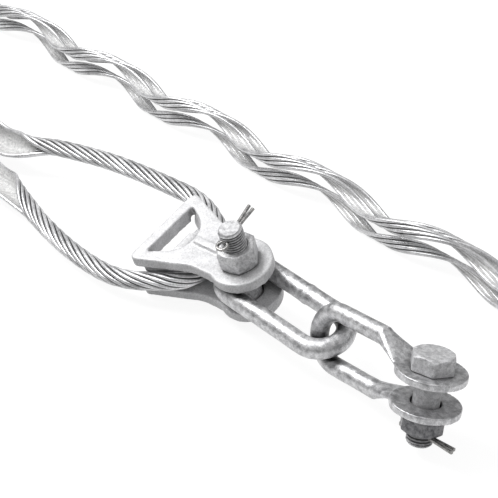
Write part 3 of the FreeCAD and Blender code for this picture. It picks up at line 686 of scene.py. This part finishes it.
def softened(node, name, material, voxel, passes, wave, deep, shape=None):
    """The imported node's own shape as a new piece, remeshed, smoothed over its edges and then roughened.

    voxel is the size of the mesh, passes how often it is smoothed, wave and deep the size and depth of the
    dents, all lengths in mm. shape, if given, is applied to the points before the dents.
    """
    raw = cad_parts[node].data.copy()
    raw.materials.clear()
    obj = bpy.data.objects.new(name, raw)
    bpy.context.scene.collection.objects.link(obj)
    remesh = obj.modifiers.new("voxels", "REMESH")
    remesh.mode = "VOXEL"
    remesh.voxel_size = voxel * MM
    calm = obj.modifiers.new("calm", "SMOOTH")
    calm.factor = 0.5
    calm.iterations = passes
    seen = obj.evaluated_get(bpy.context.evaluated_depsgraph_get())
    mesh = bpy.data.meshes.new_from_object(seen)
    obj.modifiers.clear()
    obj.data = mesh
    bpy.data.meshes.remove(raw)
    places = np.empty(len(mesh.vertices) * 3, np.float32)
    normals = np.empty(len(mesh.vertices) * 3, np.float32)
    mesh.vertices.foreach_get("co", places)
    mesh.vertices.foreach_get("normal", normals)
    places, normals = places.reshape(-1, 3), normals.reshape(-1, 3)
    if shape:
        places = shape(places / MM) * MM
    scaled = map(Vector, (places / (wave * MM)).tolist())
    bumps = np.array([noise.noise(v) + FINE_SHARE * noise.noise(v * FINE_SCALE) for v in scaled])
    places = places + normals * (bumps[:, None] - SUNK) * deep * MM
    mesh.vertices.foreach_set("co", places.astype(np.float32).ravel())
    mesh.shade_smooth()
    mesh.materials.append(material)
    return obj


def all_round(count):
    """Directions spread evenly over a sphere."""
    turns = np.arange(count) * np.pi * (3 - math.sqrt(5))
    heights = 1 - 2 * (np.arange(count) + 0.5) / count
    flat = np.sqrt(1 - heights ** 2)
    spots = np.stack([flat * np.cos(turns), flat * np.sin(turns), heights], 1)
    return [Vector(spot) for spot in spots.tolist()]


def paint_occlusion_shade(pieces, near_by):
    """Write how open each point of the pieces is; the finish is painted darker, as shade, where other
    surfaces are close.
    """
    corners, faces = [], []
    for piece in pieces + near_by:
        mesh = piece.data
        mesh.calc_loop_triangles()
        first = len(corners)
        corners += [v.co.copy() for v in mesh.vertices]
        faces += [tuple(first + k for k in t.vertices) for t in mesh.loop_triangles]
    tree = BVHTree.FromPolygons(corners, faces)
    rays = all_round(RAYS)
    for piece in pieces:
        rooms = []
        for vertex in piece.data.vertices:
            normal = vertex.normal
            start = vertex.co + normal * RAY_START * MM
            free = total = 0.001
            for ray in rays:
                share = ray.dot(normal)
                if share > RAY_FLATTEST:
                    total += share
                    if tree.ray_cast(start, ray, REACH * MM)[0] is None:
                        free += share
            rooms.append(free / total)
        room = piece.data.attributes.new("room", "FLOAT", "POINT")
        room.data.foreach_set("value", np.array(rooms, np.float32))


# The arguments of softened, then the body and the material slot of each piece.
SOFTENED = [
    (("clevis_thimble", "thimble_casting", LOOKS["thimble"], 0.8, 3, 8, 0.2),
     "grip_and_thimble", "thimble"),
    (("extension_ring", "ring_forging", LOOKS["forging"], 0.6, 3, 10, 0.18, welded),
     "ring", "forgings"),
    (("shackle", "shackle_forging", LOOKS["forging"], 0.5, 10, 10, 0.18),
     "shackle_body", "forgings"),
    (("thimble_nut", "thimble_nut_zinc", LOOKS["nut"], 0.4, 2, 5, 0.12),
     "thimble_bolt_set", "bolts"),
    (("shackle_nut", "shackle_nut_zinc", LOOKS["dark_nut"], 0.4, 2, 5, 0.12),
     "shackle_bolt_set", "bolts"),
]
hardware = []
for made, body, slot in SOFTENED:
    hardware.append(softened(*made))
    attach(hardware[-1], body, slot, made[0])
# Painted shade on the hardware where its own surfaces, the other pieces or the bolts are close.
paint_occlusion_shade(hardware, bolts)


# Stage, light and camera. Lengths are in metres here, apart from the camera's own.
FLOOR_HALF = 3.0
FLOOR_GAP = 0.0002
FLOOR_SHADE = 0.3
SHADOW_SHADE = 0.16
FLOOR_GLOW = 0.9
SKY_STRENGTH = 0.65
SKY_STOPS = ((0.15, (0.01, 0.01, 0.011, 1)), (0.5, (1, 1, 1, 1)))
LIT_POINT = (-0.12, 0.0, -0.01)
WHITE = (1, 1, 1, 1)


def seen_rays(tree):
    """1 for rays from the camera and for those that a metal or glass surface mirrors."""
    path = tree.nodes.new("ShaderNodeLightPath")
    most = path.outputs["Is Camera Ray"]
    for name in ("Is Glossy Ray", "Is Transmission Ray"):
        bigger = tree.nodes.new("ShaderNodeMath")
        bigger.operation = "MAXIMUM"
        tree.links.new(most, bigger.inputs[0])
        tree.links.new(path.outputs[name], bigger.inputs[1])
        most = bigger.outputs["Value"]
    return most


def diffuse(tree, shade):
    made = tree.nodes.new("ShaderNodeBsdfDiffuse")
    made.inputs["Color"].default_value = (shade, shade, shade, 1)
    return made.outputs["BSDF"]


def paper():
    """The floor: a plain grey for the light it gives back, and white with a faint shadow where it is seen."""
    material = bpy.data.materials.new("floor_paper")
    material.use_nodes = True
    tree = material.node_tree
    tree.nodes.remove(tree.nodes["Principled BSDF"])
    white = tree.nodes.new("ShaderNodeEmission")
    white.inputs["Color"].default_value = WHITE
    white.inputs["Strength"].default_value = FLOOR_GLOW
    both = tree.nodes.new("ShaderNodeAddShader")
    tree.links.new(diffuse(tree, SHADOW_SHADE), both.inputs[0])
    tree.links.new(white.outputs["Emission"], both.inputs[1])
    mix = tree.nodes.new("ShaderNodeMixShader")
    tree.links.new(seen_rays(tree), mix.inputs["Fac"])
    tree.links.new(diffuse(tree, FLOOR_SHADE), mix.inputs[1])
    tree.links.new(both.outputs["Shader"], mix.inputs[2])
    tree.links.new(mix.outputs["Shader"], tree.nodes["Material Output"].inputs["Surface"])
    return material


def build_floor():
    half = FLOOR_HALF
    z = -FLOOR_DROP * MM - FLOOR_GAP
    corners = [(-half, -half, z), (half, -half, z), (half, half, z), (-half, half, z)]
    mesh = bpy.data.meshes.new("floor")
    mesh.from_pydata(corners, [], [(0, 1, 2, 3)])
    mesh.materials.append(paper())
    floor = bpy.data.objects.new("floor", mesh)
    bpy.context.scene.collection.objects.link(floor)


def build_world():
    """A sky that is dark at the horizon and bright above, so that round bars get a dark edge."""
    world = bpy.data.worlds.new("studio")
    world.use_nodes = True
    bpy.context.scene.world = world
    tree = world.node_tree
    back = tree.nodes["Background"]
    back.inputs["Strength"].default_value = SKY_STRENGTH
    where = tree.nodes.new("ShaderNodeTexCoord")
    split = tree.nodes.new("ShaderNodeSeparateXYZ")
    tree.links.new(where.outputs["Generated"], split.inputs["Vector"])
    ramp = tree.nodes.new("ShaderNodeValToRGB")
    for stop, (place, colour) in zip(ramp.color_ramp.elements, SKY_STOPS):
        stop.position = place
        stop.color = colour
    tree.links.new(split.outputs["Z"], ramp.inputs["Fac"])
    tree.links.new(ramp.outputs["Color"], back.inputs["Color"])
    white = tree.nodes.new("ShaderNodeBackground")
    white.inputs["Color"].default_value = WHITE
    white.inputs["Strength"].default_value = 1.0
    mix = tree.nodes.new("ShaderNodeMixShader")
    tree.links.new(tree.nodes.new("ShaderNodeLightPath").outputs["Is Camera Ray"], mix.inputs["Fac"])
    tree.links.new(back.outputs["Background"], mix.inputs[1])
    tree.links.new(white.outputs["Background"], mix.inputs[2])
    tree.links.new(mix.outputs["Shader"], tree.nodes["World Output"].inputs["Surface"])


# The camera, solved from the photograph: where it looks from, and how far the middle of the picture is
# moved from the point that it looks at.
CAMERA_YAW = 46.538
CAMERA_HIGH = 35.398
CAMERA_FAR = 742.196
CAMERA_ROLL = 0.2416
CAMERA_AIM = (-93.709, 3.488, -14.9)
CAMERA_RIGHT = 39.619
CAMERA_UP = -50.256
FOCAL_PIXELS = 1195.404
PHOTO_PIXELS = 498
SENSOR = 36
CLIP_END = 20

yaw, high, roll = (math.radians(a) for a in (CAMERA_YAW, CAMERA_HIGH, CAMERA_ROLL))
right = np.array([math.cos(yaw), math.sin(yaw), 0])
back = np.array([math.sin(yaw) * math.cos(high), -math.cos(yaw) * math.cos(high), math.sin(high)])
up = np.cross(back, right)
right, up = math.cos(roll) * right + math.sin(roll) * up, math.cos(roll) * up - math.sin(roll) * right
eye = np.array(CAMERA_AIM) - CAMERA_RIGHT * right - CAMERA_UP * up + CAMERA_FAR * back


def build_camera():
    data = bpy.data.cameras.new("camera")
    data.sensor_width = SENSOR
    data.lens = SENSOR * FOCAL_PIXELS / PHOTO_PIXELS
    data.clip_end = CLIP_END
    camera = bpy.data.objects.new("camera", data)
    turn = Matrix([right, up, back]).transposed().to_4x4()
    camera.matrix_world = Matrix.Translation(Vector(eye * MM)) @ turn
    bpy.context.scene.collection.objects.link(camera)
    bpy.context.scene.camera = camera


def area_light(name, at, size, watts):
    data = bpy.data.lights.new(name, "AREA")
    data.shape = "SQUARE"
    data.size = size
    data.energy = watts
    light = bpy.data.objects.new(name, data)
    light.location = at
    light.rotation_euler = (Vector(LIT_POINT) - Vector(at)).to_track_quat("-Z", "Y").to_euler()
    bpy.context.scene.collection.objects.link(light)


build_floor()
build_world()
area_light("key", (-0.75, -0.3, 1.0), size=0.6, watts=13)
area_light("fill", (0.9, 0.6, 0.9), size=0.9, watts=1.5)
build_camera()
bpy.context.scene.view_settings.view_transform = "Standard"
